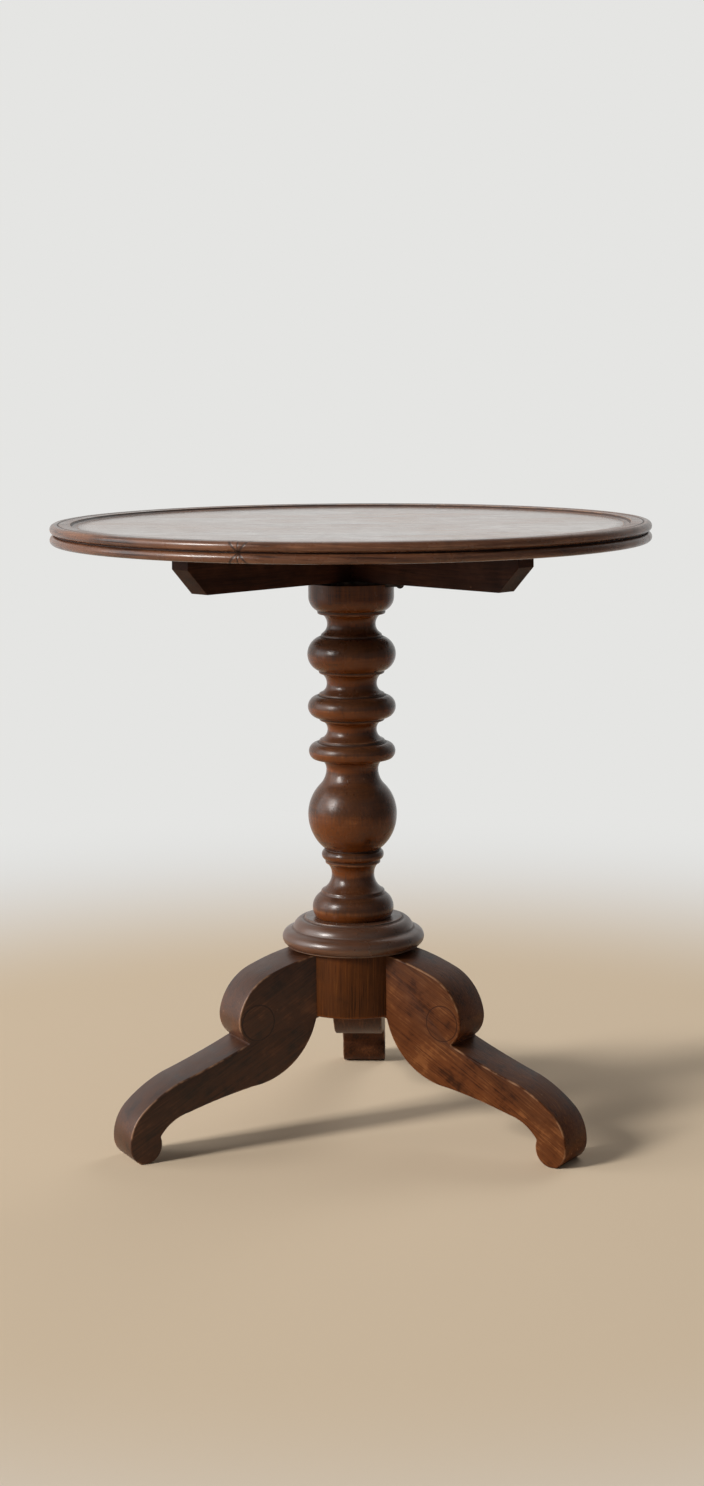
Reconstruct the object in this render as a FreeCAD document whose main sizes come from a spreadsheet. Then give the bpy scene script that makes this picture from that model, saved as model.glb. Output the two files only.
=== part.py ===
"""Round tilt-top table on a turned column with three scrolled legs.

The frame stands on the floor: the origin is on the floor under the column's axis, +Z is up and the
rear leg points along +Y. The top rests on the column's head, a barrel bolt on the -X side locks it,
and a butt hinge on the +X side lets it tip up until it stands upright beside the column.
"""
import FreeCAD, Part
import math
import os
import Sketcher

Vector = FreeCAD.Vector
Rotation = FreeCAD.Rotation

# Driving sizes in millimetres, with what each one measures
SIZES = [
    ("table_height", 730, "floor to the crest of the rim"),
    ("top_radius", 362.5, "axis to the outside of the rim"),
    ("rim_width", 34, "rim moulding, measured along a radius"),
    ("rim_thickness", 24, "rim moulding, underside to crest"),
    ("field_thickness", 20.5, "boards of the table top"),
    ("bearer_width", 27, "each crossed bearer"),
    ("bearer_depth", 48, "each crossed bearer, top to underside"),
    ("bearer_bevel", 30, "sloped cut under each bearer's end"),
    ("lap_clearance", 0.1, "each side of the notch where the two bearers cross"),
    ("screw_well_radius", 6, "well that sinks a bearer screw"),
    ("screw_well_depth", 24, "well that sinks a bearer screw"),
    ("wood_screw_radius", 2.4, "shank of a bearer screw"),
    ("wood_screw_head_radius", 4.6, "head of a bearer screw"),
    ("wood_screw_head_height", 3.2, "head of a bearer screw"),
    ("wood_screw_length", 36, "bearer screw with its head"),
    ("small_screw_radius", 1.6, "shank of a hinge or bolt screw"),
    ("small_screw_head_radius", 3.2, "head of a hinge or bolt screw"),
    ("small_screw_head_height", 1.8, "head of a hinge or bolt screw"),
    ("hinge_screw_length", 16, "hinge screw with its head"),
    ("bolt_screw_length", 11, "screw of the bolt or its keeper with its head"),
    ("screw_slot_width", 1.1, "driver slot of every screw"),
    ("screw_slot_depth", 1, "driver slot of every screw"),
    ("screw_clearance", 0.05, "around and under a screw in its hole"),
    ("column_height", 403, "foot of the column on the base disc to the top of its head"),
    ("column_radius", 53.7, "widest turning of the column"),
    ("tenon_radius", 20, "tenon that goes down into the hub"),
    ("tenon_length", 62, "tenon below the column's foot"),
    ("tenon_clearance", 0.1, "around and under the tenon"),
    ("disc_radius", 86.3, "large moulded disc over the hub"),
    ("disc_height", 33.5, "large moulded disc over the hub"),
    ("hub_radius", 72, "round block that the legs join"),
    ("hub_height", 74.5, "round block that the legs join"),
    ("leg_thickness", 61, "width of a leg where it meets the hub"),
    ("foot_thickness", 53.5, "width of a leg at its foot"),
    ("leg_reach", 303, "axis to the outermost point of a leg"),
    ("tongue_depth", 14, "dovetail tongue of a leg"),
    ("tongue_neck", 20, "width of the tongue at the leg"),
    ("tongue_root", 28, "width of the tongue at its end"),
    ("tongue_height", 62, "dovetail tongue of a leg"),
    ("tongue_clearance", 0.1, "around the tongue in its slot"),
    ("leaf_thickness", 3, "each leaf of the hinge"),
    ("leaf_width", 60, "each leaf, along the pin"),
    ("leaf_start", 36, "column's axis to the leaves' far edge"),
    ("leaf_clearance", 0.1, "around the leaf let into the column's head"),
    ("leaf_relief", 1, "between a leaf's edge and the other leaf's knuckles"),
    ("head_screw_spread_x", 56, "screws of the leaf on the column's head"),
    ("head_screw_spread_y", 16, "screws of the leaf on the column's head"),
    ("top_screw_spread", 44, "screws of the leaf under the bearers, both ways"),
    ("knuckle_radius", 5, "knuckles of the hinge"),
    ("knuckle_gap", 0.3, "between neighbouring knuckles"),
    ("hinge_reach", 60, "column's axis to the hinge pin's axis"),
    ("pin_radius", 2.5, "hinge pin"),
    ("pin_head_radius", 3.8, "tapered heads of the hinge pin"),
    ("pin_head_height", 1.8, "tapered heads of the hinge pin"),
    ("pin_clearance", 0.05, "running fit of the hinge pin"),
    ("keeper_reach", 40, "column's axis to the near face of the keeper"),
    ("keeper_thickness", 3, "bent strip that takes the bolt"),
    ("keeper_width", 22, "bent strip that takes the bolt"),
    ("keeper_height", 43, "bent strip that takes the bolt"),
    ("keeper_foot", 10.5, "foot of the keeper on the column's head"),
    ("keeper_screw_inset", 6.7, "near face of the keeper to its screws"),
    ("keeper_screw_spread", 12, "the keeper's two screws"),
    ("keeper_hole_clearance", 0.5, "around the rod in the keeper"),
    ("bolt_drop", 16, "underside of the boards to the rod's axis"),
    ("bolt_stand_off", 11, "drawn bolt's nose to the keeper"),
    ("bolt_radius", 4, "rod of the barrel bolt"),
    ("bolt_length", 70, "rod of the barrel bolt"),
    ("bolt_nose_show", 8, "drawn bolt's nose to the front guide"),
    ("bolt_clearance", 0.05, "running fit of the rod in its guides"),
    ("guide_length", 8, "each of the two guides on the plate"),
    ("guide_wall", 3, "metal around the rod in a guide"),
    ("guide_inset", 4, "plate's end to the guide"),
    ("plate_length", 60, "base plate of the barrel bolt"),
    ("plate_width", 26, "base plate of the barrel bolt"),
    ("plate_thickness", 2.5, "base plate of the barrel bolt"),
    ("plate_screw_spread_x", 26, "screws of the base plate"),
    ("plate_screw_spread_y", 16, "screws of the base plate"),
    ("knob_setback", 36, "nose of the rod to its knob"),
    ("knob_radius", 4.5, "round knob on the rod"),
    ("knob_stem_radius", 2, "stem of the knob"),
    ("knob_stem_length", 6, "rod to knob"),
    ("knob_clearance", 0.05, "around the stem in the rod"),
]

# Joints between the four boards of the top, from the middle, as shares of the field's radius
BOARD_JOINT_SHARES = (-0.60, -0.04, 0.36)

# Length of each crossed bearer as a share of the field's width, and its screws as shares of an arm
BEARER_LENGTH_SHARE = 0.846
ARM_SCREW_SHARES = (0.43, 0.84)

# Section of the rim: across from the field, up from the underside, bulge of the way to the next
RIM_SHARES = (
    (0, 0, 0), (0.8445, 0, 0.48), (0.8445, 0.458, 0), (0.812, 0.492, 0), (0.839, 0.525, 0.48),
    (0.839, 1, 0), (0.741, 0.983, 0), (0.706, 0.95, 0), (0.671, 0.98, 0), (0.265, 0.98, 0),
    (0.265, 0.942, -0.12), (0, 0.862, 0),
)

# Turned outline of the column: height from its foot, radius as a share of the widest, bulge
COLUMN_SHARES = (
    (0, 0.838, 0.23), (0.0695, 0.730, 0), (0.0794, 0.708, 0), (0.0816, 0.670, -0.13),
    (0.1278, 0.479, -0.109), (0.1598, 0.588, 0), (0.1598, 0.618, 0), (0.1702, 0.618, 0.36),
    (0.2020, 0.607, 0.119), (0.3065, 1, 0.10), (0.3933, 0.736, -0.10), (0.4417, 0.583, -0.093),
    (0.4665, 0.661, 0), (0.4735, 0.885, 0.363), (0.5211, 0.791, 0), (0.5211, 0.745, 0),
    (0.5305, 0.732, 0), (0.5318, 0.698, -0.154), (0.5603, 0.555, -0.13), (0.5856, 0.661, 0),
    (0.5871, 0.730, 0), (0.5945, 0.742, 0), (0.5950, 0.764, 0.452), (0.6625, 0.764, 0),
    (0.6625, 0.745, 0), (0.6690, 0.736, 0), (0.6710, 0.698, -0.159), (0.6980, 0.564, -0.118),
    (0.7270, 0.670, 0), (0.7285, 0.732, 0), (0.7365, 0.743, 0), (0.7375, 0.764, 0.33),
    (0.8375, 0.736, 0), (0.8382, 0.698, 0), (0.8457, 0.687, 0), (0.8486, 0.661, -0.128),
    (0.8759, 0.549, -0.12), (0.9057, 0.663, 0), (0.9072, 0.765, 0), (0.9171, 0.773, 0),
    (0.9176, 0.791, 0.138), (0.9591, 0.967, 0), (1, 0.967, 0),
)

# Turned outline of the base disc: height, radius, bulge
DISC_SHARES = (
    (0, 0.932, 0), (0.060, 0.932, 0), (0.060, 0.943, 0.32), (0.552, 0.914, 0), (0.612, 0.842, 0.12),
    (0.940, 0.747, 0), (0.940, 0.679, 0), (1, 0.679, 0),
)

# Outline of a leg: out from the hub, height up to the hub's top, bulge of the way to the next
LEG_SHARES = (
    (0, 0.652, 0.165), (0.344, 0.329, -0.016), (0.689, 0.240, -0.10), (0.840, 0.133, 0.24),
    (0.9075, 0, 0), (0.941, 0, 0.145), (0.9987, 0.101, 0.11), (0.930, 0.277, 0.043),
    (0.739, 0.407, -0.012), (0.367, 0.561, 0.145), (0.421, 0.700, 0.137), (0.243, 0.9236, 0.028),
    (0, 0.9954, 0),
)

# Directions in degrees from the +X axis
FULL_TURN = 360
REAR_LEG_ANGLE = 90
BEARER_ANGLE = 48.5
RIM_JOINT_ANGLE = 253
TURNS = {"X": (90, (0, 1, 0)), "Y": (-90, (1, 0, 0)), "back": (90, (1, 0, 0)),
         "up": (0, (0, 0, 1)), "down": (180, (1, 0, 0))}

# Legs and bearers, spaced evenly round the column
LEGS = ("leg_rear", "leg_left", "leg_right")
BEARERS = {"bearer_under": BEARER_ANGLE, "bearer_over": BEARER_ANGLE + FULL_TURN / 4}

# Counts
RIM_SEGMENTS = 4
KNUCKLES = 5


class Size:
    """A length together with the expression that works it out from the sheet."""

    def __init__(self, value, text):
        self.value = value
        self.text = text

    def _joined(self, sign, other, value):
        text = other.text if isinstance(other, Size) else f"({other!r})"
        return Size(value, f"({self.text} {sign} {text})")

    def __add__(self, other):
        return self._joined("+", other, self.value + other.value)

    def __sub__(self, other):
        return self._joined("-", other, self.value - other.value)

    def __mul__(self, other):
        return self._joined("*", other, self.value * getattr(other, "value", other))

    def __truediv__(self, other):
        return self._joined("/", other, self.value / getattr(other, "value", other))

    def __neg__(self):
        return self * -1

    def root(self):
        return Size(math.sqrt(self.value), f"sqrt({self.text})")


os.makedirs("parts", exist_ok=True)
doc = FreeCAD.newDocument("tilt_top_table")
sheet = doc.addObject("Spreadsheet::Sheet", "Sizes")
for row, (alias, number, meaning) in enumerate(SIZES, start=1):
    sheet.set(f"A{row}", alias)
    sheet.set(f"B{row}", str(number))
    sheet.set(f"C{row}", meaning)
    sheet.setAlias(f"B{row}", alias)
doc.recompute()
PIECES = []
ZERO = Size(0.0, "0")


def size(alias):
    """The sheet's value under that alias."""
    return Size(float(sheet.get(alias)), f"Sizes.{alias}")


def bind(thing, **properties):
    """Ties each named property to its size."""
    for name, length in properties.items():
        thing.setExpression(name, length.text)


def place(thing, x=ZERO, y=ZERO, z=ZERO, turn=0, axis=(0, 0, 1)):
    """Turns a thing about its own origin and moves it, with the move tied to the sheet."""
    base = Vector(x.value, y.value, z.value)
    thing.Placement = FreeCAD.Placement(base, Rotation(Vector(*axis), turn))
    for name, length in (("x", x), ("y", y), ("z", z)):
        thing.setExpression(f"Placement.Base.{name}", length.text)
    return thing


def keep(thing, label):
    """Marks a finished piece, which is written out under its label."""
    thing.Label = label
    PIECES.append(thing)
    return thing


# Blocks, rods and cones, and how they are joined and cut

def box(name, length, width, height, x=ZERO, y=ZERO, z=ZERO):
    """A block with its lowest corner at x, y, z."""
    made = doc.addObject("Part::Box", name)
    bind(made, Length=length, Width=width, Height=height)
    return place(made, x, y, z)


def rod(name, radius, length, x=ZERO, y=ZERO, z=ZERO, way="up"):
    """A cylinder that starts at x, y, z and runs that way."""
    made = doc.addObject("Part::Cylinder", name)
    bind(made, Radius=radius, Height=length)
    return place(made, x, y, z, *TURNS[way])


def cone(name, first_radius, last_radius, length, x=ZERO, y=ZERO, z=ZERO, way="up"):
    """A cone that starts at x, y, z and runs that way."""
    made = doc.addObject("Part::Cone", name)
    bind(made, Radius1=first_radius, Radius2=last_radius, Height=length)
    return place(made, x, y, z, *TURNS[way])


def fuse(name, things):
    made = doc.addObject("Part::MultiFuse", name)
    made.Shapes = things
    made.Refine = True
    return made


def cut(name, base, tool):
    made = doc.addObject("Part::Cut", name)
    made.Base = base
    made.Tool = tool
    return made


def group(name, things):
    """Separate solids under one name."""
    made = doc.addObject("Part::Compound", name)
    made.Links = things
    return made


# Sketches and the features made from them

def sketch_on(body, role, name):
    """A sketch on one of the body's own origin planes."""
    made = body.newObject("Sketcher::SketchObject", name)
    plane = next(one for one in body.Origin.OriginFeatures if one.Role == role)
    made.AttachmentSupport = [(plane, "")]
    made.MapMode = "FlatFace"
    return made


def tie(sketch, kind, length, *where):
    """Adds a dimension to the sketch and ties it to its size."""
    number = sketch.addConstraint(Sketcher.Constraint(kind, *where, length.value))
    sketch.setExpression(f"Constraints[{number}]", length.text)


def tie_point(sketch, segment, end, x, y):
    """Fixes one end of a segment at x, y."""
    for kind, length, axis in (("DistanceX", x, -2), ("DistanceY", y, -1)):
        if length is ZERO:
            sketch.addConstraint(Sketcher.Constraint("PointOnObject", segment, end, axis))
        else:
            tie(sketch, kind, length, -1, 1, segment, end)


def arc_between(start, end, bulge_share):
    """Arc whose rise is that share of its chord, to the right of the way from start to end."""
    (x0, y0), (x1, y1) = start, end
    chord = math.hypot(x1 - x0, y1 - y0)
    rise = abs(bulge_share) * chord
    radius = chord ** 2 / (8 * rise) + rise / 2
    side = math.copysign(1, bulge_share)
    centre_x = (x0 + x1) / 2 - (y1 - y0) / chord * side * (radius - rise)
    centre_y = (y0 + y1) / 2 + (x1 - x0) / chord * side * (radius - rise)
    first, last = (start, end) if side > 0 else (end, start)
    low = math.atan2(first[1] - centre_y, first[0] - centre_x)
    high = math.atan2(last[1] - centre_y, last[0] - centre_x)
    if high < low:
        high += 2 * math.pi
    circle = Part.Circle(Vector(centre_x, centre_y, 0), Vector(0, 0, 1), radius)
    return Part.ArcOfCircle(circle, low, high)


def draw(sketch, stations):
    """Closed outline. A station is x, y and the bulge share of the way to the next station.

    A bulge share of 0 is a straight line, and any other is an arc that rises to the right of the
    way by that share of its chord. Every station and every arc's radius is tied to the sheet.
    """
    segments = []
    for here, there in zip(stations, stations[1:] + stations[:1]):
        start = (here[0].value, here[1].value)
        end = (there[0].value, there[1].value)
        if here[2] == 0:
            shape = Part.LineSegment(Vector(*start, 0), Vector(*end, 0))
        else:
            shape = arc_between(start, end, here[2])
        ends = (2, 1) if here[2] < 0 else (1, 2)
        segments.append((sketch.addGeometry(shape), *ends))
    for index, (x, y, bulge) in enumerate(stations):
        segment, start, end = segments[index]
        before, _, end_before = segments[index - 1]
        sketch.addConstraint(Sketcher.Constraint("Coincident", before, end_before, segment, start))
        tie_point(sketch, segment, start, x, y)
    for index, (x, y, bulge) in enumerate(stations):
        if bulge != 0:
            next_x, next_y, _ = stations[(index + 1) % len(stations)]
            across, along = next_x - x, next_y - y
            chord = (across * across + along * along).root()
            radius_share = 1 / (8 * abs(bulge)) + abs(bulge) / 2
            tie(sketch, "Radius", chord * radius_share, segments[index][0])


def draw_circle(sketch, radius):
    """Circle round the sketch's origin."""
    number = sketch.addGeometry(Part.Circle(Vector(0, 0, 0), Vector(0, 0, 1), radius.value))
    sketch.addConstraint(Sketcher.Constraint("Coincident", number, 3, -1, 1))
    tie(sketch, "Radius", radius, number)


def revolve(body, sketch, degrees=FULL_TURN):
    """Turns a sketch round the upright axis of its plane."""
    made = body.newObject("PartDesign::Revolution", f"{sketch.Name}_turned")
    made.Profile = sketch
    made.ReferenceAxis = (sketch, ["V_Axis"])
    made.Angle = degrees
    body.Tip = made


def pad(body, sketch, length, symmetric=False):
    made = body.newObject("PartDesign::Pad", f"{sketch.Name}_pad")
    made.Profile = sketch
    made.SideType = "Symmetric" if symmetric else "One side"
    bind(made, Length=length)
    body.Tip = made


def pocket_up(body, sketch, depth):
    """Cuts upward from the sketch."""
    made = body.newObject("PartDesign::Pocket", f"{sketch.Name}_cut")
    made.Profile = sketch
    made.Reversed = True
    bind(made, Length=depth)
    body.Tip = made
    return made


def repeat_round(body, features, name, copies):
    """Repeats features round the body's upright axis."""
    made = body.newObject("PartDesign::PolarPattern", name)
    made.Originals = features
    made.Axis = (next(one for one in body.Origin.OriginFeatures if one.Role == "Z_Axis"), [""])
    made.Angle = FULL_TURN
    made.Occurrences = copies
    body.Tip = made


def turned(name, inner_radius, stations):
    """Body turned round the Z axis, solid from its inner radius out to the stations."""
    body = doc.addObject("PartDesign::Body", name)
    sketch = sketch_on(body, "XZ_Plane", f"{name}_outline")
    draw(sketch, [(inner_radius, ZERO, 0)] + stations + [(inner_radius, stations[-1][1], 0)])
    revolve(body, sketch)
    return body


def share_of(length, share):
    """That share of a length, where a share of 0 is the plain zero."""
    return length * share if share else ZERO


# Levels above the floor and other places that several pieces share
rim_low = size("table_height") - size("rim_thickness")
field_radius = size("top_radius") - size("rim_width")
half_length = field_radius * BEARER_LENGTH_SHARE
bearer_low = rim_low - size("bearer_depth")
head_level = bearer_low - size("leaf_thickness")
disc_high = head_level - size("column_height")
hub_high = disc_high - size("disc_height")
hub_low = hub_high - size("hub_height")
half_leg = size("leg_thickness") / 2
hub_flat = (size("hub_radius") * size("hub_radius") - half_leg * half_leg).root()
bolt_level = rim_low - size("bolt_drop")
keeper_near = -size("keeper_reach")
keeper_far = keeper_near - size("keeper_thickness")
bolt_nose = keeper_far - size("bolt_stand_off")
front_guide = bolt_nose - size("bolt_nose_show") - size("guide_length")
plate_start = front_guide + size("guide_length") + size("guide_inset") - size("plate_length")


# Screws

def screw_core(name, sort, length, x, y, z, way, extra):
    """Head and shank of a countersunk screw whose head's face is at x, y, z."""
    radius = size(f"{sort}_radius") + extra
    head_radius = size(f"{sort}_head_radius") + extra
    return [cone(f"{name}_head", head_radius, radius, size(f"{sort}_head_height"), x, y, z, way),
            rod(f"{name}_shank", radius, length + extra, x, y, z, way)]


def screws(label, sort, length, spots, way):
    """Makes all screws of one kind under one name, and gives the tool that cuts their holes."""
    made, holes = [], []
    slot_width, slot_depth = size("screw_slot_width"), size("screw_slot_depth")
    head_radius = size(f"{sort}_head_radius")
    for number, (x, y, z) in enumerate(spots, start=1):
        name = f"{label}_{number}"
        core = fuse(f"{name}_core", screw_core(name, sort, length, x, y, z, way, ZERO))
        slot = box(f"{name}_slot", head_radius * 2, slot_width, slot_depth,
                   x - head_radius, y - slot_width / 2, z - slot_depth if way == "down" else z)
        made.append(cut(name, core, slot))
        holes += screw_core(f"{name}_hole", sort, length, x, y, z, way, size("screw_clearance"))
    keep(group(f"{label}_group", made), label)
    return fuse(f"{label}_holes", holes)


def corners(spread_x, spread_y, middle_x, z):
    """The four corners of a rectangle that is centred on middle_x."""
    return [(middle_x + spread_x * x_share, spread_y * y_share, z)
            for x_share in (-0.5, 0.5) for y_share in (-0.5, 0.5)]


# Two screws in each of the four arms of the bearers
arm_screws, wells = [], []
for angle in BEARERS.values():
    along_x, along_y = math.cos(math.radians(angle)), math.sin(math.radians(angle))
    for share in ARM_SCREW_SHARES + tuple(-share for share in ARM_SCREW_SHARES):
        reach = half_length * share
        x, y = reach * along_x, reach * along_y
        arm_screws.append((x, y, bearer_low + size("screw_well_depth")))
        wells.append(rod(f"screw_well_{len(arm_screws)}", size("screw_well_radius"),
                         size("screw_well_depth"), x, y, bearer_low))

hinge_screw_length, bolt_screw_length = size("hinge_screw_length"), size("bolt_screw_length")
bearer_holes = screws("bearer_screws", "wood_screw", size("wood_screw_length"), arm_screws, "up")
top_leaf_spots = corners(size("top_screw_spread"), size("top_screw_spread"), ZERO, head_level)
top_leaf_holes = screws("top_leaf_screws", "small_screw", hinge_screw_length, top_leaf_spots, "up")
head_leaf_spots = corners(size("head_screw_spread_x"), size("head_screw_spread_y"), ZERO, head_level)
head_leaf_holes = screws("head_leaf_screws", "small_screw", hinge_screw_length, head_leaf_spots, "down")
plate_spots = corners(size("plate_screw_spread_x"), size("plate_screw_spread_y"),
                      plate_start + size("plate_length") / 2, rim_low - size("plate_thickness"))
plate_holes = screws("bolt_plate_screws", "small_screw", bolt_screw_length, plate_spots, "up")
keeper_spots = [(keeper_near - size("keeper_screw_inset"), size("keeper_screw_spread") * share,
                 head_level + size("keeper_thickness")) for share in (-0.5, 0.5)]
keeper_holes = screws("keeper_screws", "small_screw", bolt_screw_length, keeper_spots, "down")


# Table top: four boards inside a moulded rim of four segments, on two crossed bearers

board_holes = fuse("board_holes", [bearer_holes, plate_holes])
edges = [-field_radius] + [field_radius * share for share in BOARD_JOINT_SHARES] + [field_radius]
for number, (low, high) in enumerate(zip(edges, edges[1:]), start=1):
    name = f"top_board_{number}"
    board = doc.addObject("Part::Common", f"{name}_round")
    board.Base = rod(f"{name}_disc", field_radius, size("field_thickness"), z=rim_low)
    board.Tool = box(f"{name}_plank", field_radius * 2, high - low, size("field_thickness"),
                     -field_radius, low, rim_low)
    keep(cut(f"{name}_cut", board, board_holes), name)

for number in range(RIM_SEGMENTS):
    name = f"rim_segment_{number + 1}"
    body = doc.addObject("PartDesign::Body", name)
    sketch = sketch_on(body, "XZ_Plane", f"{name}_section")
    draw(sketch, [(field_radius + size("rim_width") * across, share_of(size("rim_thickness"), up), bulge)
                  for across, up, bulge in RIM_SHARES])
    revolve(body, sketch, FULL_TURN / RIM_SEGMENTS)
    keep(place(body, z=rim_low, turn=RIM_JOINT_ANGLE + FULL_TURN / RIM_SEGMENTS * number), name)

bevel, depth = size("bearer_bevel"), size("bearer_depth")
bevel_foot = half_length - bevel
half_notch = size("bearer_width") / 2 + size("lap_clearance")
high_notch = [(half_notch, depth, 0), (half_notch, depth / 2, 0),
              (-half_notch, depth / 2, 0), (-half_notch, depth, 0)]
low_notch = [(-half_notch, ZERO, 0), (-half_notch, depth / 2, 0),
             (half_notch, depth / 2, 0), (half_notch, ZERO, 0)]
for label, angle in BEARERS.items():
    crossed_above = label == "bearer_under"
    body = doc.addObject("PartDesign::Body", f"{label}_bar")
    sketch = sketch_on(body, "XZ_Plane", f"{label}_side")
    draw(sketch, [(-bevel_foot, ZERO, 0)] + ([] if crossed_above else low_notch)
         + [(bevel_foot, ZERO, 0), (half_length, bevel, 0), (half_length, depth, 0)]
         + (high_notch if crossed_above else [])
         + [(-half_length, depth, 0), (-half_length, bevel, 0)])
    pad(body, sketch, size("bearer_width"), symmetric=True)
    place(body, z=bearer_low, turn=angle)
    tools = fuse(f"{label}_tools", [bearer_holes, top_leaf_holes] + wells)
    keep(cut(f"{label}_cut", body, tools), label)


# Column, base disc and hub

stations = [(size("tenon_radius"), ZERO, 0), (size("tenon_radius"), size("tenon_length"), 0)]
stations += [(size("column_radius") * radius, size("tenon_length") + size("column_height") * height, bulge)
             for height, radius, bulge in COLUMN_SHARES]
column = place(turned("column_turning", ZERO, stations), z=disc_high - size("tenon_length"))
mortise_start = size("leaf_start") + size("leaf_clearance")
half_mortise = size("leaf_width") / 2 + size("leaf_clearance")
mortise = box("leaf_mortise", mortise_start + size("hinge_reach"), half_mortise * 2,
              size("leaf_thickness"), -mortise_start, -half_mortise, head_level - size("leaf_thickness"))
keep(cut("column_cut", column, fuse("column_tools", [mortise, head_leaf_holes, keeper_holes])), "column")

bore_radius = size("tenon_radius") + size("tenon_clearance")
stations = [(size("disc_radius") * radius, share_of(size("disc_height"), height), bulge)
            for height, radius, bulge in DISC_SHARES]
keep(place(turned("base_disc_turning", bore_radius, stations), z=hub_high), "base_disc")

hub = doc.addObject("PartDesign::Body", "hub_block")
sketch = sketch_on(hub, "XY_Plane", "hub_round")
draw_circle(sketch, size("hub_radius"))
pad(hub, sketch, size("hub_height"))
half_flat = size("hub_radius")
sketch = sketch_on(hub, "XY_Plane", "leg_flat")
draw(sketch, [(hub_flat, -half_flat, 0), (hub_flat * 2, -half_flat, 0),
              (hub_flat * 2, half_flat, 0), (hub_flat, half_flat, 0)])
flat = pocket_up(hub, sketch, size("hub_height"))
tongue_end = hub_flat - size("tongue_depth")
slot_end = tongue_end - size("tongue_clearance")
half_neck = size("tongue_neck") / 2 + size("tongue_clearance")
half_root = size("tongue_root") / 2 + size("tongue_clearance")
sketch = sketch_on(hub, "XY_Plane", "leg_slot")
draw(sketch, [(slot_end, -half_root, 0), (hub_flat, -half_neck, 0),
              (hub_flat, half_neck, 0), (slot_end, half_root, 0)])
slot = pocket_up(hub, sketch, size("tongue_height") + size("tongue_clearance"))
repeat_round(hub, [flat, slot], "leg_seats", len(LEGS))
place(hub, z=hub_low, turn=REAR_LEG_ANGLE)
bore_depth = size("tenon_length") - size("disc_height") + size("tenon_clearance")
keep(cut("hub_cut", hub, rod("hub_bore", bore_radius, bore_depth, z=hub_high - bore_depth)), "hub")


# Legs with dovetail tongues, each sawn to its side outline and then to its plan

leg_run = size("leg_reach") - hub_flat
half_foot = size("foot_thickness") / 2
tongue_high = hub_low + size("tongue_height")
leg_side = [(hub_flat + leg_run * out, share_of(hub_high, up), bulge) for out, up, bulge in LEG_SHARES]
leg_side += [(hub_flat, tongue_high, 0), (tongue_end, tongue_high, 0),
             (tongue_end, hub_low, 0), (hub_flat, hub_low, 0)]
leg_plan = [(tongue_end, size("tongue_root") * -0.5, 0), (hub_flat, size("tongue_neck") * -0.5, 0),
            (hub_flat, -half_leg, 0), (size("leg_reach"), -half_foot, 0),
            (size("leg_reach"), half_foot, 0), (hub_flat, half_leg, 0),
            (hub_flat, size("tongue_neck") * 0.5, 0), (tongue_end, size("tongue_root") * 0.5, 0)]
for number, label in enumerate(LEGS):
    sawn = doc.addObject("Part::MultiCommon", f"{label}_sawn")
    blanks = []
    for view, plane, outline, thickness in (("side", "XZ_Plane", leg_side, size("leg_thickness")),
                                            ("plan", "XY_Plane", leg_plan, hub_high)):
        blank = doc.addObject("PartDesign::Body", f"{label}_{view}")
        sketch = sketch_on(blank, plane, f"{label}_{view}_outline")
        draw(sketch, outline)
        pad(blank, sketch, thickness * 2, symmetric=True)
        blanks.append(blank)
    sawn.Shapes = blanks
    keep(place(sawn, turn=REAR_LEG_ANGLE + FULL_TURN / len(LEGS) * number), label)


# Hinge

knuckle_pitch = size("leaf_width") / KNUCKLES
knuckle_length = knuckle_pitch - size("knuckle_gap")
half_leaf = size("leaf_width") / 2
hinge_reach = size("hinge_reach")
leaf_end = hinge_reach - size("knuckle_radius") - size("leaf_relief")


def hinge_leaf(label, low, knuckles, holes):
    """Flat leaf whose underside is at that level, with knuckles round the pin."""
    pieces = [box(f"{label}_flat", size("leaf_start") + leaf_end, size("leaf_width"),
                  size("leaf_thickness"), -size("leaf_start"), -half_leaf, low)]
    for number in knuckles:
        start = size("knuckle_gap") / 2 + knuckle_pitch * number - half_leaf
        pieces.append(box(f"{label}_web_{number}", hinge_reach - leaf_end, knuckle_length,
                          size("leaf_thickness"), leaf_end, start, low))
        pieces.append(rod(f"{label}_knuckle_{number}", size("knuckle_radius"), knuckle_length,
                          hinge_reach, start, head_level, "Y"))
    bore = rod(f"{label}_bore", size("pin_radius") + size("pin_clearance"), size("leaf_width"),
               hinge_reach, -half_leaf, head_level, "Y")
    tools = fuse(f"{label}_tools", [bore, holes])
    keep(cut(f"{label}_cut", fuse(f"{label}_solid", pieces), tools), label)


hinge_leaf("head_leaf", head_level - size("leaf_thickness"), range(0, KNUCKLES, 2), head_leaf_holes)
hinge_leaf("top_leaf", head_level, range(1, KNUCKLES, 2), top_leaf_holes)
half_pin = half_leaf - size("knuckle_gap") / 2
head = (size("pin_head_radius"), size("pin_radius"), size("pin_head_height"), hinge_reach)
pin_pieces = [rod("pin_shank", size("pin_radius"), half_pin * 2, hinge_reach, -half_pin, head_level, "Y"),
              cone("pin_far_head", *head, half_pin, head_level, "Y"),
              cone("pin_near_head", *head, -half_pin, head_level, "back")]
keep(fuse("hinge_pin_solid", pin_pieces), "hinge_pin")


# Barrel bolt and its keeper

half_keeper = size("keeper_width") / 2
strip = fuse("keeper_strip", [
    box("keeper_upstand", size("keeper_thickness"), size("keeper_width"), size("keeper_height"),
        keeper_far, -half_keeper, head_level),
    box("keeper_foot_flat", size("keeper_foot"), size("keeper_width"), size("keeper_thickness"),
        keeper_near - size("keeper_foot"), -half_keeper, head_level)])
keeper_hole = rod("keeper_hole", size("bolt_radius") + size("keeper_hole_clearance"),
                  size("keeper_thickness"), keeper_far, ZERO, bolt_level, "X")
keep(cut("keeper_cut", strip, fuse("keeper_tools", [keeper_hole, keeper_holes])), "keeper")

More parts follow.
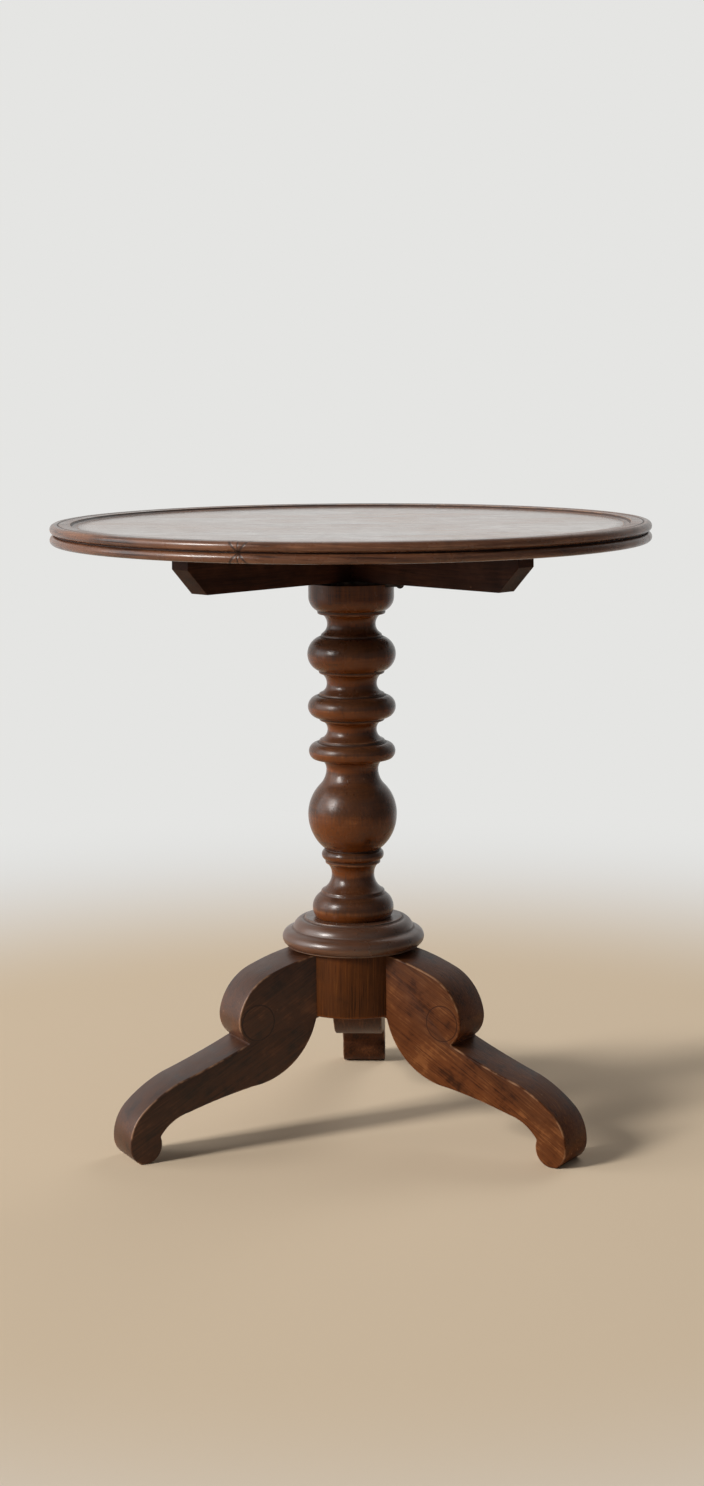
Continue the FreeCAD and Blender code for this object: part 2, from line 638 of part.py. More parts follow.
guide_radius = size("bolt_radius") + size("guide_wall")
guide_rise = size("bolt_drop") - size("plate_thickness")
plate_pieces = [box("bolt_plate_flat", size("plate_length"), size("plate_width"), size("plate_thickness"),
                    plate_start, size("plate_width") * -0.5, rim_low - size("plate_thickness"))]
for name, start in (("front", front_guide), ("back", plate_start + size("guide_inset"))):
    plate_pieces.append(rod(f"{name}_guide_round", guide_radius, size("guide_length"), start, ZERO,
                            bolt_level, "X"))
    plate_pieces.append(box(f"{name}_guide_block", size("guide_length"), guide_radius * 2, guide_rise,
                            start, -guide_radius, bolt_level))
guide_bore = rod("guide_bore", size("bolt_radius") + size("bolt_clearance"), size("plate_length"),
                 plate_start, ZERO, bolt_level, "X")
keep(cut("bolt_plate_cut", fuse("bolt_plate_solid", plate_pieces),
         fuse("bolt_plate_tools", [guide_bore, plate_holes])), "bolt_plate")

knob_x = bolt_nose - size("knob_setback")
stem_length = size("bolt_radius") + size("knob_stem_length")
bolt_round = rod("bolt_round", size("bolt_radius"), size("bolt_length"),
                 bolt_nose - size("bolt_length"), ZERO, bolt_level, "X")
knob_hole = rod("knob_hole", size("knob_stem_radius") + size("knob_clearance"), stem_length,
                knob_x, ZERO, bolt_level, "down")
keep(cut("bolt_rod_cut", bolt_round, knob_hole), "bolt_rod")
ball = doc.addObject("Part::Sphere", "knob_ball")
bind(ball, Radius=size("knob_radius"))
place(ball, knob_x, ZERO, bolt_level - stem_length - size("knob_radius"))
stem = rod("knob_stem", size("knob_stem_radius"), stem_length + size("knob_radius"), knob_x, ZERO,
           bolt_level, "down")
keep(fuse("bolt_knob_solid", [stem, ball]), "bolt_knob")


# Recompute, look for faults and write every piece

doc.recompute()
for thing in doc.Objects:
    if "Invalid" in thing.State or "Error" in thing.State:
        raise RuntimeError(f"{thing.Name} did not compute")
for piece in PIECES:
    if piece.Shape.isNull() or not piece.Shape.isValid() or not piece.Shape.Solids:
        raise RuntimeError(f"{piece.Label} has no valid solid")
    piece.Shape.exportStep(f"parts/{piece.Label}.step")
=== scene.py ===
"""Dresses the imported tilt-top table and sets it up as in the photograph."""

import math

import bpy
import numpy as np
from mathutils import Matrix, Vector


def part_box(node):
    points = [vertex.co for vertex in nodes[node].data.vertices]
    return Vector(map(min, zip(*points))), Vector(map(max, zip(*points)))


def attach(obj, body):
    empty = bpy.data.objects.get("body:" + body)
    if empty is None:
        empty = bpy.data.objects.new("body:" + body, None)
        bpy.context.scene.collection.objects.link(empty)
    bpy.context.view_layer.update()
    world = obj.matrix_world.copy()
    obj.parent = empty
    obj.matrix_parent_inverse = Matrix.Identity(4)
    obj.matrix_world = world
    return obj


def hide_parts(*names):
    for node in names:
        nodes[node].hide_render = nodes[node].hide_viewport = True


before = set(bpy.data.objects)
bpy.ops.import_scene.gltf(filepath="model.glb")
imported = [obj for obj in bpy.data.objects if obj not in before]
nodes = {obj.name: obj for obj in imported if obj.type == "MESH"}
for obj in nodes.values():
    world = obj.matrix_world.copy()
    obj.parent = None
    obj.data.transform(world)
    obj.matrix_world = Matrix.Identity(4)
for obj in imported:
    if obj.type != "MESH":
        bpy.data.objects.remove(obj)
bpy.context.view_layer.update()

# Lengths are in metres and angles in degrees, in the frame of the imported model.

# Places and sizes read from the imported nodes
RIM_LOW, RIM_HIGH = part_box("rim_segment_2")[0].z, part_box("rim_segment_2")[1].z
RIM_MIDDLE = (RIM_LOW + RIM_HIGH) / 2
FIELD_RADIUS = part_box("top_board_3")[1].x
COLUMN_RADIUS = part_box("column")[1].x
COLUMN_LOW, COLUMN_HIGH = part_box("base_disc")[1].z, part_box("column")[1].z
DISC_LOW, DISC_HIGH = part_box("base_disc")[0].z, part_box("base_disc")[1].z
HUB_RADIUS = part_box("hub")[1].x
HUB_LOW, HUB_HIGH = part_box("hub")[0].z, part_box("hub")[1].z
LEG_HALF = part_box("leg_rear")[1].x
LEG_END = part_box("leg_rear")[1].y
LEG_START = math.sqrt(HUB_RADIUS ** 2 - LEG_HALF ** 2)
LEAF_START, LEAF_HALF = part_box("head_leaf")[0].x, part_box("head_leaf")[1].y

# Radii of the top and of the disc under the column
RIM_RADIUS = 0.3625
DISC_RADIUS = 0.0863

# Outlines of the turned pieces: shares of the height and of the radius, then the bulge of the way to
# the next point as a share of its chord
COLUMN_SHARES = (
    (0, 0.838, 0.23), (0.0695, 0.730, 0), (0.0794, 0.708, 0), (0.0816, 0.670, -0.13),
    (0.1278, 0.479, -0.109), (0.1598, 0.588, 0), (0.1598, 0.618, 0), (0.1702, 0.618, 0.36),
    (0.2020, 0.607, 0.119), (0.3065, 1, 0.10), (0.3933, 0.736, -0.10), (0.4417, 0.583, -0.093),
    (0.4665, 0.661, 0), (0.4735, 0.885, 0.363), (0.5211, 0.791, 0), (0.5211, 0.745, 0),
    (0.5305, 0.732, 0), (0.5318, 0.698, -0.154), (0.5603, 0.555, -0.13), (0.5856, 0.661, 0),
    (0.5871, 0.730, 0), (0.5945, 0.742, 0), (0.5950, 0.764, 0.452), (0.6625, 0.764, 0),
    (0.6625, 0.745, 0), (0.6690, 0.736, 0), (0.6710, 0.698, -0.159), (0.6980, 0.564, -0.118),
    (0.7270, 0.670, 0), (0.7285, 0.732, 0), (0.7365, 0.743, 0), (0.7375, 0.764, 0.33),
    (0.8375, 0.736, 0), (0.8382, 0.698, 0), (0.8457, 0.687, 0), (0.8486, 0.661, -0.128),
    (0.8759, 0.549, -0.12), (0.9057, 0.663, 0), (0.9072, 0.765, 0), (0.9171, 0.773, 0),
    (0.9176, 0.791, 0.138), (0.9591, 0.967, 0), (1, 0.967, 0),
)
DISC_SHARES = (
    (0, 0.932, 0), (0.060, 0.932, 0), (0.060, 0.943, 0.32), (0.552, 0.914, 0), (0.612, 0.842, 0.12),
    (0.940, 0.747, 0), (0.940, 0.679, 0), (1, 0.679, 0),
)
# Section of the rim: shares of its width and of its thickness, and the bulge
RIM_SHARES = (
    (0, 0, 0), (0.8445, 0, 0.48), (0.8445, 0.458, 0), (0.812, 0.492, 0), (0.839, 0.525, 0.48),
    (0.839, 1, 0), (0.741, 0.983, 0), (0.706, 0.95, 0), (0.671, 0.98, 0), (0.265, 0.98, 0),
    (0.265, 0.942, -0.12), (0, 0.862, 0),
)
# Outline of a leg: shares of its run and of the hub's height above the floor, and the bulge
LEG_SHARES = (
    (0, 0.652, 0.165), (0.344, 0.329, -0.016), (0.689, 0.240, -0.10), (0.840, 0.133, 0.24),
    (0.9075, 0, 0), (0.941, 0, 0.145), (0.9987, 0.101, 0.11), (0.930, 0.277, 0.043),
    (0.739, 0.407, -0.012), (0.367, 0.561, 0.145), (0.421, 0.700, 0.137), (0.243, 0.9236, 0.028),
    (0, 0.9954, 0),
)


# Outlines

# What a length is raised to before it divides
LEAST = 1e-12


def stretch_of(start, end, bulge_share, step):
    """Even points from start up to, but without, end: on a line, or on an arc that rises to the right
    of the way by that share of its chord."""
    start, end = np.array(start, float), np.array(end, float)
    way = end - start
    chord = np.hypot(*way)
    count = max(2, math.ceil(chord * (1 + 2 * abs(bulge_share)) / step))
    share = np.arange(count) / count
    if bulge_share == 0:
        return start + way * share[:, None]
    half_angle = 2 * math.atan(2 * abs(bulge_share))
    radius = chord / (2 * math.sin(half_angle))
    right = np.array([way[1], -way[0]]) / chord * math.copysign(1, bulge_share)
    angle = half_angle * (2 * share - 1)
    along = radius * np.sin(angle)
    out = radius * (np.cos(angle) - math.cos(half_angle))
    return (start + end) / 2 + way / chord * along[:, None] + right * out[:, None]


def outline_of(stations, step, closed):
    """Even points along all the lines and arcs between the stations."""
    following = stations[1:] + stations[:1]
    points = [stretch_of(here[:2], there[:2], here[2], step) for here, there in zip(stations, following)]
    if not closed:
        points[-1] = np.array([stations[-1][:2]], float)
    return np.concatenate(points)


def scaled(shares, low, high, radius):
    """Stations (radius, height, bulge) of a turned piece from the shares of its outline."""
    return [(radius * wide, low + (high - low) * up, bulge) for up, wide, bulge in shares]


def neighbours(values, closed):
    """The row before and the row after each. Past an open line's ends, the end itself comes again."""
    if closed:
        return np.roll(values, 1, axis=0), np.roll(values, -1, axis=0)
    return np.concatenate([values[:1], values[:-1]]), np.concatenate([values[1:], values[-1:]])


def softened(values, closed):
    """Each row becomes the mean of itself and its two neighbours, which rounds off corners."""
    before, after = neighbours(values, closed)
    return (before + values + after) / 3


def right_of(points, closed):
    """Unit vectors to the right of the way along the points."""
    before, after = neighbours(points, closed)
    way = after - before
    way = way / np.maximum(np.hypot(way[:, 0], way[:, 1]), LEAST)[:, None]
    return np.stack([way[:, 1], -way[:, 0]], axis=1)


def bend_of(points, closed):
    """Turn of the way at each point over the length it takes, in 1/m: above 0 on a crown, below 0 in a
    hollow and 0 at the ends of an open line, and softened."""
    before, after = neighbours(points, closed)
    first, second = points - before, after - points
    first_length, second_length = np.hypot(*first.T), np.hypot(*second.T)
    cross = first[:, 0] * second[:, 1] - first[:, 1] * second[:, 0]
    bend = cross / np.maximum(first_length * second_length, LEAST)
    bend = bend / np.maximum((first_length + second_length) / 2, LEAST)
    return softened(bend, closed)


# Wear, dirt and painted shade, as masks along an outline

# Bends in 1/m where a crown starts to wear pale and has worn, where a hollow is a full cove, and where a
# sharp hollow starts to darken with dirt and painted shade and is fully dark
CROWN_START, CROWN_FULL = 250, 750
COVE_FULL = 60
DIRT_AND_SHADE_START, DIRT_AND_SHADE_FULL = 180, 280
# How many times full a corner may be before it is softened
DIRT_AND_SHADE_HEAP = 3
# The masks, and the sockets of the wood that they feed
MASKS = {"crown": "Crown", "cove": "Cove", "dirt_and_shade": "Dirt_And_Shade", "tilt": "Tilt"}


def wear_and_shade_masks(points, closed):
    """Where an outline's crowns are rubbed pale, its coves take the warm colour that is bare wood and
    painted warm bounce light, its sharp corners take dirt and painted shade, and how far its surface looks
    up, from -1 to 1."""
    bend = bend_of(points, closed)
    crown = (bend - CROWN_START) / (CROWN_FULL - CROWN_START)
    corner = np.clip((-bend - DIRT_AND_SHADE_START) / (DIRT_AND_SHADE_FULL - DIRT_AND_SHADE_START), 0, DIRT_AND_SHADE_HEAP)
    return {"crown": np.clip(crown, 0, 1), "cove": np.clip(-bend / COVE_FULL, 0, 1),
            "dirt_and_shade": np.clip(softened(corner, closed), 0, 1), "tilt": right_of(points, closed)[:, 1]}


# Meshes

# Slow waves worn into a turned piece: height, how many go round, and their turn in a metre of height.
# They start at this radius.
WORN_WAVES = ((0.00010, 2, 60), (0.00005, 5, -140))
WORN_FROM = 0.004


def paint(made, look):
    made.data.materials.clear()
    made.data.materials.append(look)


def mesh(name, verts, faces, look, body, slot, replaced, smooth=True, **masks):
    """One painted object that rides on its body, with its masks as point attributes."""
    data = bpy.data.meshes.new(name)
    data.from_pydata(verts.tolist(), [], faces)
    for mask, values in masks.items():
        data.attributes.new(mask, "FLOAT", "POINT").data.foreach_set("value", values.astype(np.float32))
    data.polygons.foreach_set("use_smooth", [smooth] * len(data.polygons))
    data.update()
    made = bpy.data.objects.new(name, data)
    bpy.context.scene.collection.objects.link(made)
    paint(made, look)
    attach(made, body)
    if replaced:
        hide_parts(*replaced)
    return made


def grid_faces(rows, columns, wrap):
    """Four-sided faces of a grid of rows by columns, whose last column may join the first."""
    row = np.arange(rows - 1)[:, None]
    column = np.arange(columns if wrap else columns - 1)[None, :]
    following = (column + 1) % columns
    low, high = row * columns, (row + 1) * columns
    corners = [low + column, low + following, high + following, high + column]
    return np.stack(corners, -1).reshape(-1, 4).tolist()


def lathe(name, profile, masks, look, body, slot, replaced, sides, first=0, last=360):
    """Turned piece: the profile point at radius r and height z goes round to x = r cos a, y = r sin a,
    with r changed by slow waves a tenth of a millimetre high."""
    whole = last - first == 360
    angle = np.radians(np.linspace(first, last, sides, endpoint=not whole))
    radius, height = profile[:, :1], profile[:, 1:]
    waves = sum(wave * np.sin(count * angle + turn * height) for wave, count, turn in WORN_WAVES)
    worn = radius + waves * (radius > WORN_FROM)
    verts = np.stack([worn * np.cos(angle), worn * np.sin(angle), height + 0 * angle], -1).reshape(-1, 3)
    spread = {mask: np.repeat(values, sides) for mask, values in masks.items()}
    return mesh(name, verts, grid_faces(len(profile), sides, whole), look, body, slot, replaced, **spread)


# Colours of the woods

def rgb(red, green, blue):
    """Screen colour from 0 to 255, turned into the light values that nodes use."""
    shares = [one / 255 for one in (red, green, blue)]
    return (*[one / 12.92 if one <= 0.04045 else ((one + 0.055) / 1.055) ** 2.4 for one in shares], 1.0)


def palette(dark, middle, light, warm_and_bounce, worn):
    return {"Dark": rgb(*dark), "Middle": rgb(*middle), "Light": rgb(*light), "Warm_And_Bounce": rgb(*warm_and_bounce),
            "Worn": rgb(*worn)}


# Each palette's warm colour is bare wood, and also paints the warm bounce light from the floor in coves and
# on faces that look down
TURNED = palette((54, 35, 25), (88, 49, 23), (116, 67, 32), (94, 46, 12), (146, 106, 76))
DISC = {**TURNED, "Dark": rgb(74, 53, 42), "Warm_And_Bounce": rgb(92, 60, 42)}
BLOCK = palette((32, 14, 4), (74, 38, 10), (102, 57, 18), (104, 54, 18), (120, 84, 60))
SAWN = palette((48, 25, 13), (86, 48, 24), (126, 77, 42), (112, 61, 30), (186, 142, 106))
# A darker copy of the sawn colours: painted shade for the legs that stand in shadow
SAWN_IN_PAINTED_SHADE = palette((34, 17, 9), (63, 34, 17), (98, 58, 33), (86, 45, 22), (176, 134, 102))
RIM = palette((46, 26, 17), (98, 62, 42), (130, 88, 62), (92, 55, 36), (164, 124, 94))
FIELD = palette((66, 40, 28), (118, 82, 60), (150, 112, 86), (124, 80, 50), (150, 112, 88))
STAINED = palette((28, 13, 7), (50, 25, 13), (68, 37, 20), (90, 52, 32), (120, 84, 60))


# Node trees

class Tree:
    """Short calls that add nodes to a node tree. A value is a number or the output of another node."""

    def __init__(self, tree):
        self.tree = tree
        tree.nodes.clear()

    def node(self, kind, inputs=None, **settings):
        made = self.tree.nodes.new(kind)
        for name, value in settings.items():
            setattr(made, name, value)
        for name, value in (inputs or {}).items():
            if isinstance(value, bpy.types.NodeSocket):
                self.tree.links.new(value, made.inputs[name])
            else:
                made.inputs[name].default_value = value
        return made

    def number(self, operation, first, second=0.0):
        return self.node("ShaderNodeMath", {0: first, 1: second}, operation=operation).outputs[0]

    def vector(self, operation, first, second=(0, 0, 0)):
        """What the operation makes of vectors: a vector, or a number for a length or a dot product."""
        made = self.node("ShaderNodeVectorMath", {0: first, 1: second}, operation=operation)
        return made.outputs["Value" if operation in ("LENGTH", "DOT_PRODUCT") else "Vector"]

    def times(self, first, second):
        return self.number("MULTIPLY", first, second)

    def less(self, first, second):
        return self.number("SUBTRACT", first, second)

    def larger(self, first, second):
        return self.number("MAXIMUM", first, second)

    def swing(self, noise):
        """Noise from 0 to 1 as a swing about 0."""
        return self.less(noise, 0.5)

    def sum(self, *terms):
        """Adds up values, each given as (value, weight)."""
        total = 0.0
        for value, weight in terms:
            total = self.node("ShaderNodeMath", {0: value, 1: weight, 2: total},
                              operation="MULTIPLY_ADD").outputs[0]
        return total

    def capped(self, value):
        return self.node("ShaderNodeClamp", {"Value": value}).outputs[0]

    def mix(self, share, first, second):
        """Colour from the first to the second, which are the sockets 6 and 7 of the node."""
        made = self.node("ShaderNodeMix", {"Factor": share, 6: first, 7: second}, data_type="RGBA")
        return made.outputs[2]

    def band(self, value, low, high, least=0.0):
        """Least below low, 1 above high and smooth between, or the other way round."""
        made = self.node("ShaderNodeMapRange", {"Value": value, "From Min": low, "From Max": high,
                                                "To Min": least}, interpolation_type="SMOOTHSTEP")
        return made.outputs["Result"]

    def placed(self, vector, turn=(0, 0, 0), move=(0, 0, 0), scale=(1, 1, 1)):
        """The vector stretched by the scale, turned by degrees and then moved."""
        made = self.node("ShaderNodeMapping", {"Vector": vector, "Location": move, "Scale": scale,
                                               "Rotation": [math.radians(one) for one in turn]})
        return made.outputs["Vector"]

    def noise(self, vector, scale, detail=3.0, roughness=0.55, rates=None):
        """Noise with about that many patches in a metre, times the rates along X, Y and Z."""
        if rates:
            vector = self.placed(vector, scale=rates)
        made = self.node("ShaderNodeTexNoise", {"Vector": vector, "Scale": scale, "Detail": detail,
                                                "Roughness": roughness})
        return made.outputs["Fac"]


def group(name, inputs, outputs):
    """Empty node group, its tree and its inputs. A given value tells a socket's kind."""
    made = bpy.data.node_groups.new(name, "ShaderNodeTree")
    for socket, value in inputs.items():
        kind = "Vector" if value is None else "Color" if isinstance(value, tuple) else "Float"
        added = made.interface.new_socket(socket, in_out="INPUT", socket_type=f"NodeSocket{kind}")
        if value is not None:
            added.default_value = value
    for socket, kind in outputs.items():
        made.interface.new_socket(socket, in_out="OUTPUT", socket_type=f"NodeSocket{kind}")
    tree = Tree(made)
    return made, tree, tree.node("NodeGroupInput").outputs


# Materials

# How far the grain wanders off its line, and how high the finest relief stands
GRAIN_DRIFT = 0.02
WOOD_RELIEF, METAL_RELIEF = 0.00016, 0.0002
COAT_ROUGHNESS = 0.14


def old_wood_group():
    """Old polished wood with its grain along X of the vector: streaky figure, mottled patches, short pores,
    fine fibres, rubbed crowns, dirt and painted shade in corners, nicks, tool rings round X, a dark patina
    with painted shade where the surface looks up, and in coves and where it looks down warm bare wood that
    also paints the warm bounce light from the floor."""
    amounts = {"Crown": 0.0, "Cove": 0.0, "Dirt_And_Shade": 0.0, "Tilt": 0.0, "Roughness": 0.4, "Figure": 1.0,
               "Mottle": 0.4, "Pores": 1.0, "Nicks": 1.0, "Rings": 0.0}
    made, tree, given = group("old_wood", {"Vector": None, **STAINED, **amounts},
                              {"Color": "Color", "Roughness": "Float", "Normal": "Vector"})
    vector = given["Vector"]
    drift = tree.node("ShaderNodeTexNoise", {"Vector": tree.placed(vector, scale=(0.4, 1, 1)),
                                             "Scale": 6.0, "Detail": 1.0}).outputs["Color"]
    grain = tree.vector("ADD", vector, tree.vector("MULTIPLY", drift, [GRAIN_DRIFT] * 3))

    figure = tree.noise(grain, scale=55, detail=4, roughness=0.6, rates=(0.07, 1, 1))
    fibre = tree.noise(grain, scale=520, detail=2, rates=(0.03, 1, 1))
    broad = tree.noise(vector, scale=7, detail=2, roughness=0.5)
    patches = tree.noise(vector, scale=38, detail=3, roughness=0.6)
    waves = tree.noise(vector, scale=30, detail=1)
    rings = tree.noise(vector, scale=420, detail=3, roughness=0.7, rates=(1, 0.05, 0.05))
    rings = tree.times(tree.swing(rings), given["Rings"])
    streak = tree.times(tree.swing(figure), given["Figure"])
    mottle = tree.times(tree.swing(patches), given["Mottle"])
    pores = tree.band(tree.noise(grain, scale=850, detail=1, rates=(0.05, 1, 1)), 0.62, 0.70)
    pores = tree.times(pores, given["Pores"])
    spots = tree.node("ShaderNodeTexVoronoi", {"Vector": tree.placed(vector, scale=(0.7, 1, 1)),
                                               "Scale": 60.0}).outputs["Distance"]
    nicks = tree.times(tree.band(spots, 0.10, 0.04), tree.band(broad, 0.52, 0.60))
    nicks = tree.times(nicks, given["Nicks"])

    tone = tree.sum((streak, 1.4), (tree.swing(fibre), 0.9), (tree.swing(broad), 0.7), (mottle, 1.2),
                    (rings, 0.9), (0.5, 1.0))
    colour = tree.mix(tree.band(tone, 0.12, 0.52), given["Dark"], given["Middle"])
    colour = tree.mix(tree.band(tone, 0.50, 0.92), colour, given["Light"])
    lie = tree.sum((given["Tilt"], 1.0), (tree.swing(patches), 0.35), (rings, 0.3))
    # Warm in coves and where the surface looks down: bare wood, and painted warm bounce light from the
    # floor
    warm_and_bounce = tree.capped(tree.sum((given["Cove"], 0.5), (tree.band(lie, 0.03, -0.18), 0.75)))
    colour = tree.mix(tree.times(warm_and_bounce, tree.band(tone, 0.0, 0.5)), colour, given["Warm_And_Bounce"])
    # Dark where the surface looks up: patina, and painted shade
    colour = tree.mix(tree.times(tree.band(lie, 0.0, 0.12), 0.65), colour, given["Dark"])
    # Dark in pores and in the dirt mask: real dirt, joints and scribed lines, and painted shade in sharp
    # hollows and beside the rim
    grime_and_shade = tree.capped(tree.sum((pores, 0.45), (given["Dirt_And_Shade"], 0.9)))
    colour = tree.mix(grime_and_shade, colour, given["Dark"])
    rubbed = tree.times(given["Crown"], tree.band(patches, 0.42, 0.62))
    rubbed = tree.capped(tree.sum((rubbed, 0.9), (nicks, 0.6)))
    colour = tree.mix(rubbed, colour, given["Worn"])

    rough = tree.capped(tree.sum((given["Roughness"], 1.0), (tree.swing(broad), 0.3), (streak, 0.25),
                                 (tree.swing(patches), 0.25), (rubbed, 0.10), (given["Dirt_And_Shade"], 0.2)))
    height = tree.sum((fibre, 0.6), (pores, -0.8), (rings, 1.5), (nicks, -4.0), (waves, 7.0),
                      (patches, 1.5), (given["Dirt_And_Shade"], -2.0))
    bump = tree.node("ShaderNodeBump", {"Height": height, "Strength": 0.4, "Distance": WOOD_RELIEF})
    tree.node("NodeGroupOutput", {"Color": colour, "Roughness": rough, "Normal": bump.outputs[0]})
    return made


def old_metal_group():
    """Old metal: dark tarnish in patches, fine scratches along X and a slightly uneven skin."""
    made, tree, given = group(
        "old_metal", {"Vector": None, "Bright": rgb(150, 140, 128), "Tarnish": rgb(48, 38, 32),
                      "Roughness": 0.35},
        {"Color": "Color", "Roughness": "Float", "Metallic": "Float", "Normal": "Vector"})
    patches = tree.noise(given["Vector"], scale=130, detail=4, roughness=0.65)
    scratches = tree.noise(given["Vector"], scale=1500, detail=2, roughness=0.6, rates=(0.05, 1, 1))
    share = tree.band(patches, 0.40, 0.64)
    rough = tree.capped(tree.sum((given["Roughness"], 1.0), (share, 0.25), (scratches, 0.12)))
    height = tree.sum((patches, 1.0), (scratches, 0.3))
    bump = tree.node("ShaderNodeBump", {"Height": height, "Strength": 0.3, "Distance": METAL_RELIEF})
    tree.node("NodeGroupOutput", {
        "Color": tree.mix(share, given["Bright"], given["Tarnish"]), "Roughness": rough,
        "Metallic": tree.sum((share, -0.5), (1.0, 1.0)), "Normal": bump.outputs[0]})
    return made


def ring_line_group():
    """Fine line scribed round a centre in the XZ plane of the vector, as a mask."""
    made, tree, given = group("ring_line", {"Vector": None, "Centre": None, "Radius": 0.02,
                                            "Width": 0.001}, {"Mask": "Float"})
    flat = tree.vector("MULTIPLY", tree.vector("SUBTRACT", given["Vector"], given["Centre"]), (1, 0, 1))
    off = tree.number("ABSOLUTE", tree.less(tree.vector("LENGTH", flat), given["Radius"]))
    tree.node("NodeGroupOutput", {"Mask": tree.band(off, given["Width"], 0.0)})
    return made


OLD_WOOD, OLD_METAL, RING_LINE = old_wood_group(), old_metal_group(), ring_line_group()


def material(name):
    made = bpy.data.materials.new(name)
    made.use_nodes = True
    return made, Tree(made.node_tree)


def turned_by(*turns):
    """Grain that lies along X once the coordinates are turned by each of these, in degrees."""
    def grain(tree, place):
        for turn in turns:
            place = tree.placed(place, turn)
        return place
    return grain


def wood(name, colours, grain, lines=None, masked=True, move=(0, 0, 0), shine=0.3, coat=0.0, **look):
    """Wood whose grain runs along X of the vector that grain(tree, place) makes of the object's own
    coordinates, moved on so that pieces differ. The mask that lines(tree, place) makes is dark."""
    made, tree = material(name)
    place = tree.node("ShaderNodeTexCoord").outputs["Object"]
    inputs = {"Vector": tree.placed(grain(tree, place), move=move), **colours, **look}
    if masked:
        for mask, socket in MASKS.items():
            inputs[socket] = tree.node("ShaderNodeAttribute", attribute_name=mask).outputs["Fac"]
    if lines:
        inputs["Dirt_And_Shade"] = tree.larger(inputs.get("Dirt_And_Shade", 0.0), lines(tree, place))
    skin = tree.node("ShaderNodeGroup", inputs, node_tree=OLD_WOOD)
    shade = tree.node("ShaderNodeBsdfPrincipled", {
        "Base Color": skin.outputs["Color"], "Roughness": skin.outputs["Roughness"],
        "Normal": skin.outputs["Normal"], "Specular IOR Level": shine, "Coat Weight": coat,
        "Coat Roughness": COAT_ROUGHNESS})
    tree.node("ShaderNodeOutputMaterial", {"Surface": shade.outputs["BSDF"]})
    return made


def metal(name, bright, tarnish, roughness):
    made, tree = material(name)
    place = tree.node("ShaderNodeTexCoord").outputs["Object"]
    skin = tree.node("ShaderNodeGroup", {"Vector": place, "Bright": bright, "Tarnish": tarnish,
                                         "Roughness": roughness}, node_tree=OLD_METAL)
    shade = tree.node("ShaderNodeBsdfPrincipled", {
        "Base Color": skin.outputs["Color"], "Roughness": skin.outputs["Roughness"],
        "Metallic": skin.outputs["Metallic"], "Normal": skin.outputs["Normal"]})
    tree.node("ShaderNodeOutputMaterial", {"Surface": shade.outputs["BSDF"]})
    return made


# Turned pieces

TURNED_STEP = 0.0010
UPRIGHT = turned_by((0, 90, 0))


def turned_piece(name, stations, look, replaced, sides):
    profile = softened(outline_of(stations, TURNED_STEP, closed=False), closed=False)
    masks = wear_and_shade_masks(profile, closed=False)
    lathe(name, profile, masks, look, "pedestal", "base_wood", replaced, sides)


column_wood = wood("column_wood", TURNED, UPRIGHT, shine=0.30, Roughness=0.26, Figure=0.8, Rings=1.2,
                   Nicks=0.4)
turned_piece("dressed_column", scaled(COLUMN_SHARES, COLUMN_LOW, COLUMN_HIGH, COLUMN_RADIUS), column_wood,
             ["column"], sides=128)

# Flat end of the column's head, notched on the hinge side for the leaf let into it
HEAD_SIDES = 96
head_radius = COLUMN_RADIUS * COLUMN_SHARES[-1][1]
notch_angle = math.asin(LEAF_HALF / head_radius)
round_angle = np.linspace(notch_angle, 2 * math.pi - notch_angle, HEAD_SIDES)
cap = np.stack([head_radius * np.cos(round_angle), head_radius * np.sin(round_angle),
                np.full(HEAD_SIDES, COLUMN_HIGH)], -1)
cap = np.concatenate([cap, [[LEAF_START, -LEAF_HALF, COLUMN_HIGH], [LEAF_START, LEAF_HALF, COLUMN_HIGH]]])
mesh("dressed_column_head", cap, [list(range(len(cap)))], column_wood, "pedestal", "base_wood", [],
     smooth=False, **{mask: np.zeros(len(cap)) for mask in MASKS})

# The disc and the hub end at a bore that the column covers
BORE_SHARE = 0.25
bore = DISC_RADIUS * BORE_SHARE
disc_stations = scaled(DISC_SHARES, DISC_LOW, DISC_HIGH, DISC_RADIUS)
disc_wood = wood("disc_wood", DISC, turned_by((0, 0, 20)), move=(0.7, 0.2, 0.1), shine=0.6,
                 Roughness=0.34, Figure=0.7)
turned_piece("dressed_base_disc", [(bore, DISC_LOW, 0)] + disc_stations + [(bore, DISC_HIGH, 0)], disc_wood,
             ["base_disc"], sides=160)

HUB_EDGE = 0.002
HUB_BULGE_SHARE = 0.2
HUB_CENTRE_MARK = 0.0005
hub_stations = [(HUB_CENTRE_MARK, HUB_LOW, 0), (HUB_RADIUS - HUB_EDGE, HUB_LOW, HUB_BULGE_SHARE),
                (HUB_RADIUS, HUB_LOW + HUB_EDGE, 0), (HUB_RADIUS, HUB_HIGH, 0), (bore, HUB_HIGH, 0)]
hub_wood = wood("hub_wood", BLOCK, UPRIGHT, move=(0.3, 0.1, 0), shine=0.15, Roughness=0.42, Figure=0.6)
turned_piece("dressed_hub", hub_stations, hub_wood, ["hub"], sides=128)


# Legs

